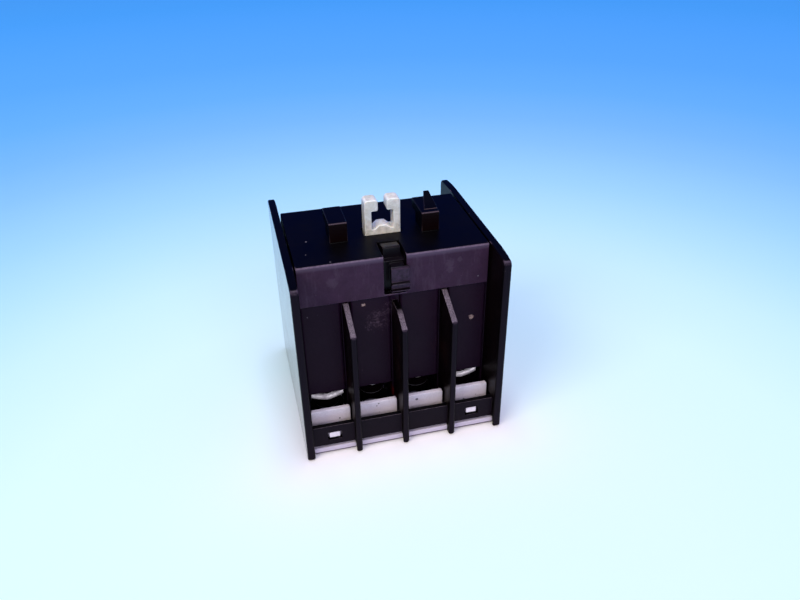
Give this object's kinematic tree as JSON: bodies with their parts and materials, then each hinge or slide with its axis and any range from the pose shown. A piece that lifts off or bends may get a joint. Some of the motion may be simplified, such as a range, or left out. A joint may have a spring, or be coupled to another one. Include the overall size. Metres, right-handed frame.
{
  "type": "auxiliary contact block",
  "caption": "Clip-on auxiliary contact block for the front of a contactor, with screw terminals between barrier ribs and a sprung coupler that moves its contacts.",
  "frame": {"origin": "middle of the front cover's face, on which the block lies", "axes": "+Z from the front cover to the contactor side with the hooks and coupler, +X across the poles, +Y the way the hooks point and slide on"},
  "size_m": [0.045, 0.0444, 0.0522],
  "materials": {
    "black_polyamide": "black moulding, satin, dusty and scuffed",
    "light_grey_polyamide": "light grey moulding, satin",
    "ivory_nylon": "natural ivory moulding, slightly translucent",
    "zinc_plated_steel": "bright zinc plate",
    "contact_brass": "stamped brass with contact tips",
    "bridge_copper": "stamped copper alloy with contact tips",
    "spring_steel": "drawn spring wire"
  },
  "bodies": {
    "block": {"housing": "black_polyamide", "front_cover": "light_grey_polyamide", "fixed_contact_1_near": "contact_brass", "fixed_contact_1_far": "contact_brass", "fixed_contact_2_near": "contact_brass", "fixed_contact_2_far": "contact_brass", "fixed_contact_3_near": "contact_brass", "fixed_contact_3_far": "contact_brass", "fixed_contact_4_near": "contact_brass", "fixed_contact_4_far": "contact_brass", "return_spring_left": "spring_steel", "return_spring_right": "spring_steel", "latch_spring": "spring_steel"},
    "carrier": {"contact_carrier": "ivory_nylon", "bridge_1": "bridge_copper", "contact_spring_1": "spring_steel", "bridge_2": "bridge_copper", "contact_spring_2": "spring_steel", "bridge_3": "bridge_copper", "contact_spring_3": "spring_steel", "bridge_4": "bridge_copper", "contact_spring_4": "spring_steel"},
    "latch": {"latch": "black_polyamide"},
    "terminal_1_near": {"wire_clamp_1_near": "zinc_plated_steel", "terminal_screw_1_near": "zinc_plated_steel"},
    "terminal_1_far": {"wire_clamp_1_far": "zinc_plated_steel", "terminal_screw_1_far": "zinc_plated_steel"},
    "terminal_2_near": {"wire_clamp_2_near": "zinc_plated_steel", "terminal_screw_2_near": "zinc_plated_steel"},
    "terminal_2_far": {"wire_clamp_2_far": "zinc_plated_steel", "terminal_screw_2_far": "zinc_plated_steel"},
    "terminal_3_near": {"wire_clamp_3_near": "zinc_plated_steel", "terminal_screw_3_near": "zinc_plated_steel"},
    "terminal_3_far": {"wire_clamp_3_far": "zinc_plated_steel", "terminal_screw_3_far": "zinc_plated_steel"},
    "terminal_4_near": {"wire_clamp_4_near": "zinc_plated_steel", "terminal_screw_4_near": "zinc_plated_steel"},
    "terminal_4_far": {"wire_clamp_4_far": "zinc_plated_steel", "terminal_screw_4_far": "zinc_plated_steel"}
  },
  "joints": [
    {"name": "coupler_travel", "type": "slide", "parent": "block", "child": "carrier", "axis": [0, 0, 1], "range_m": [0, 0.004], "stiffness_N_per_m": 150, "springref_m": -0.01, "deforming": ["return_spring_left", "return_spring_right"]},
    {"name": "latch_travel", "type": "slide", "parent": "block", "child": "latch", "axis": [0, 0, -1], "range_m": [0, 0.0022], "stiffness_N_per_m": 400, "springref_m": -0.004, "deforming": ["latch_spring"]},
    {"name": "terminal_1_near_tighten", "type": "slide", "parent": "block", "child": "terminal_1_near", "axis": [0, 0, 1], "range_m": [0, 0.002]},
    {"name": "terminal_1_far_tighten", "type": "slide", "parent": "block", "child": "terminal_1_far", "axis": [0, 0, 1], "range_m": [0, 0.002]},
    {"name": "terminal_2_near_tighten", "type": "slide", "parent": "block", "child": "terminal_2_near", "axis": [0, 0, 1], "range_m": [-0.002, 0]},
    {"name": "terminal_2_far_tighten", "type": "slide", "parent": "block", "child": "terminal_2_far", "axis": [0, 0, 1], "range_m": [-0.002, 0]},
    {"name": "terminal_3_near_tighten", "type": "slide", "parent": "block", "child": "terminal_3_near", "axis": [0, 0, 1], "range_m": [-0.002, 0]},
    {"name": "terminal_3_far_tighten", "type": "slide", "parent": "block", "child": "terminal_3_far", "axis": [0, 0, 1], "range_m": [-0.002, 0]},
    {"name": "terminal_4_near_tighten", "type": "slide", "parent": "block", "child": "terminal_4_near", "axis": [0, 0, 1], "range_m": [0, 0.002]},
    {"name": "terminal_4_far_tighten", "type": "slide", "parent": "block", "child": "terminal_4_far", "axis": [0, 0, 1], "range_m": [0, 0.002]}
  ]
}
